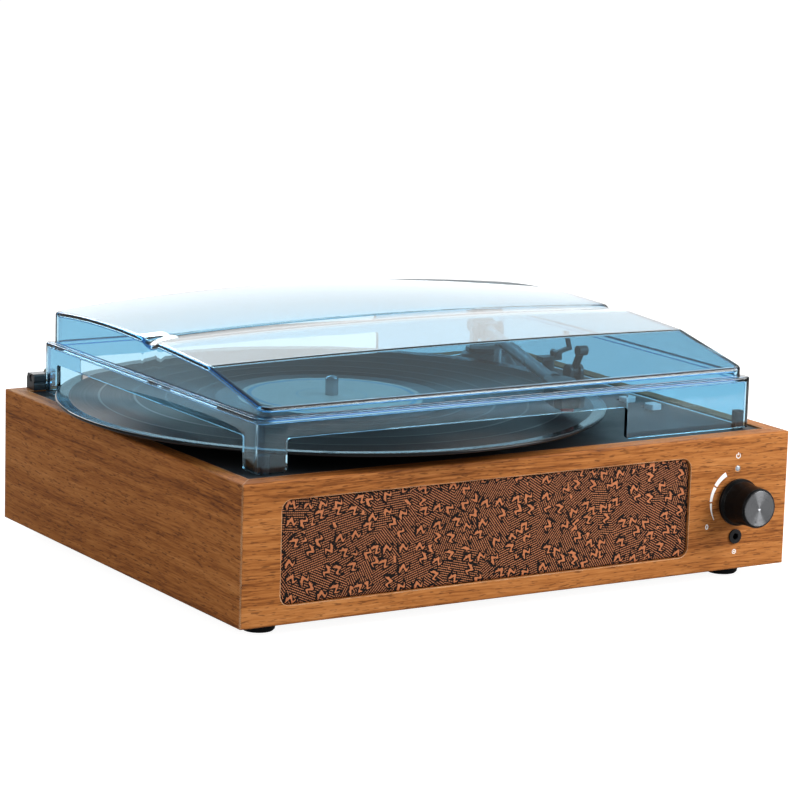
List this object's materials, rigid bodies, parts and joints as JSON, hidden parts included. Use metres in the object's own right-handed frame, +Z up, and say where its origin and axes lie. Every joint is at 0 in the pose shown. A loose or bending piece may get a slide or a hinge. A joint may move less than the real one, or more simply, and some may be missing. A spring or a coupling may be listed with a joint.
{
  "type": "turntable record player",
  "caption": "Belt-drive record player in a walnut cabinet with front speaker grille, volume knob, straight tonearm and a hinged clear blue dust cover that leaves the record's edge showing.",
  "frame": {"origin": "under the middle of the whole player, on the surface it stands on", "axes": "+X to the right seen from the front, +Y to the back, +Z up; the knob and grille face -Y"},
  "size_m": [0.362, 0.3096, 0.1369],
  "materials": {
    "walnut": "satin walnut veneer",
    "plywood": "bare sawn board",
    "pine": "bare planed batten",
    "rubber_black": "matt moulded rubber",
    "steel": "bright zinc plate",
    "deck_black": "fine-textured black moulding",
    "grille_black": "matt black",
    "grille_cloth": "two-tone jacquard weave",
    "basket_metal": "black paint",
    "cone_paper": "black pulp paper",
    "magnet_ferrite": "dark ferrite",
    "brass": "turned brass",
    "platter_black": "black moulding",
    "mat_rubber": "ribbed matt rubber",
    "vinyl": "grooved gloss vinyl with a paper label",
    "arm_plastic": "satin black moulding",
    "arm_metal": "satin dark lacquer",
    "stylus_red": "red moulding",
    "switch_grey": "light grey moulding",
    "knob_black": "black anodised, knurl-free satin",
    "knob_cap": "spun dark disc",
    "light_clear": "frosted clear lens",
    "socket_black": "black moulding",
    "board_green": "solder-masked board",
    "plate_black": "black paint",
    "rca_white": "white moulding",
    "rca_red": "red moulding",
    "cover_blue": "clear blue polished moulding"
  },
  "bodies": {
    "cabinet": {"front_panel": "walnut", "left_panel": "walnut", "right_panel": "walnut", "back_panel": "walnut", "bottom_board": "plywood", "side_cleats": "pine", "foot_front_left": "rubber_black", "foot_front_right": "rubber_black", "foot_back_left": "rubber_black", "foot_back_right": "rubber_black", "case_screws": "steel", "deck_plate": "deck_black", "grille_frame": "grille_black", "grille_cloth": "grille_cloth", "left_speaker_basket": "basket_metal", "left_speaker_cone": "cone_paper", "left_speaker_magnet": "magnet_ferrite", "right_speaker_basket": "basket_metal", "right_speaker_cone": "cone_paper", "right_speaker_magnet": "magnet_ferrite", "bearing_well": "brass", "drive_motor": "steel", "motor_grommets": "rubber_black", "drive_belt": "rubber_black", "arm_base": "arm_plastic", "arm_rest": "arm_plastic", "cue_bracket": "arm_plastic", "potentiometer": "steel", "power_light": "light_clear", "aux_socket": "socket_black", "control_board": "board_green", "amplifier_board": "board_green", "jack_plate": "plate_black", "rca_socket_left": "rca_white", "rca_socket_right": "rca_red", "power_inlet": "socket_black", "hinge_blocks": "arm_plastic", "hinge_pins": "steel"},
    "platter": {"spindle_shaft": "steel", "platter": "platter_black", "platter_mat": "mat_rubber", "vinyl_record": "vinyl"},
    "pulley": {"motor_pulley": "brass"},
    "arm_swing": {"arm_yoke": "arm_plastic", "arm_pivot_pin": "steel"},
    "arm": {"arm_tube": "arm_metal", "headshell": "arm_plastic", "cartridge": "arm_plastic", "stylus": "stylus_red", "counterweight": "arm_metal"},
    "clip": {"arm_clip": "arm_plastic"},
    "cue_lever": {"cue_lever": "arm_plastic"},
    "cue_lift": {"cue_lift": "steel"},
    "speed_switch": {"speed_switch": "switch_grey"},
    "auto_stop_switch": {"auto_stop_switch": "switch_grey"},
    "knob": {"volume_knob": "knob_black", "knob_face": "knob_cap", "pot_shaft": "steel"},
    "cover": {"dust_cover": "cover_blue", "cover_bumpers": "rubber_black"}
  },
  "joints": [
    {"name": "platter_spin", "type": "hinge", "parent": "cabinet", "child": "platter", "pos_m": [-0.03, 0.0037, 0.0889], "axis": [0, 0, -1], "continuous": true},
    {"name": "motor_spin", "type": "hinge", "parent": "cabinet", "child": "pulley", "pos_m": [-0.09553, 0.04959, 0.08], "axis": [0, 0, -1], "continuous": true},
    {"name": "tonearm_swing", "type": "hinge", "parent": "cabinet", "child": "arm_swing", "pos_m": [0.132, 0.0972, 0.103], "axis": [0, 0, 1], "range_deg": [-21.8, 15.3]},
    {"name": "tonearm_lift", "type": "hinge", "parent": "arm_swing", "child": "arm", "pos_m": [0.132, 0.0972, 0.103], "axis": [-0.9379, 0.3469, 0], "range_deg": [0, 1.76]},
    {"name": "cue_lever_tilt", "type": "hinge", "parent": "cabinet", "child": "cue_lever", "pos_m": [0.15, 0.0312, 0.0882], "axis": [-1, 0, 0], "range_deg": [0, 60]},
    {"name": "cue_lift_slide", "type": "slide", "parent": "cabinet", "child": "cue_lift", "axis": [0, 0, 1], "range_m": [0, 0.00104]},
    {"name": "arm_clip_turn", "type": "hinge", "parent": "cabinet", "child": "clip", "pos_m": [0.1328, 0.02485, 0.101], "axis": [-0.0872, -0.9962, 0], "range_deg": [0, 75]},
    {"name": "speed_switch_slide", "type": "slide", "parent": "cabinet", "child": "speed_switch", "axis": [0, 1, 0], "range_m": [0, 0.008]},
    {"name": "auto_stop_slide", "type": "slide", "parent": "cabinet", "child": "auto_stop_switch", "axis": [0, 1, 0], "range_m": [0, 0.006]},
    {"name": "volume_turn", "type": "hinge", "parent": "cabinet", "child": "knob", "pos_m": [0.1467, -0.145, 0.0455], "axis": [0, 1, 0], "range_deg": [0, 300]},
    {"name": "lid_hinge", "type": "hinge", "parent": "cabinet", "child": "cover", "pos_m": [0, 0.1367, 0.0885], "axis": [-1, 0, 0], "range_deg": [0, 65]}
  ],
  "couplings": [
    {"joint": "motor_spin", "follows": "platter_spin", "ratio": 12.386},
    {"joint": "cue_lever_tilt", "follows": "tonearm_lift", "ratio": 34.091},
    {"joint": "cue_lift_slide", "follows": "tonearm_lift", "m_per_rad": 0.034011}
  ]
}
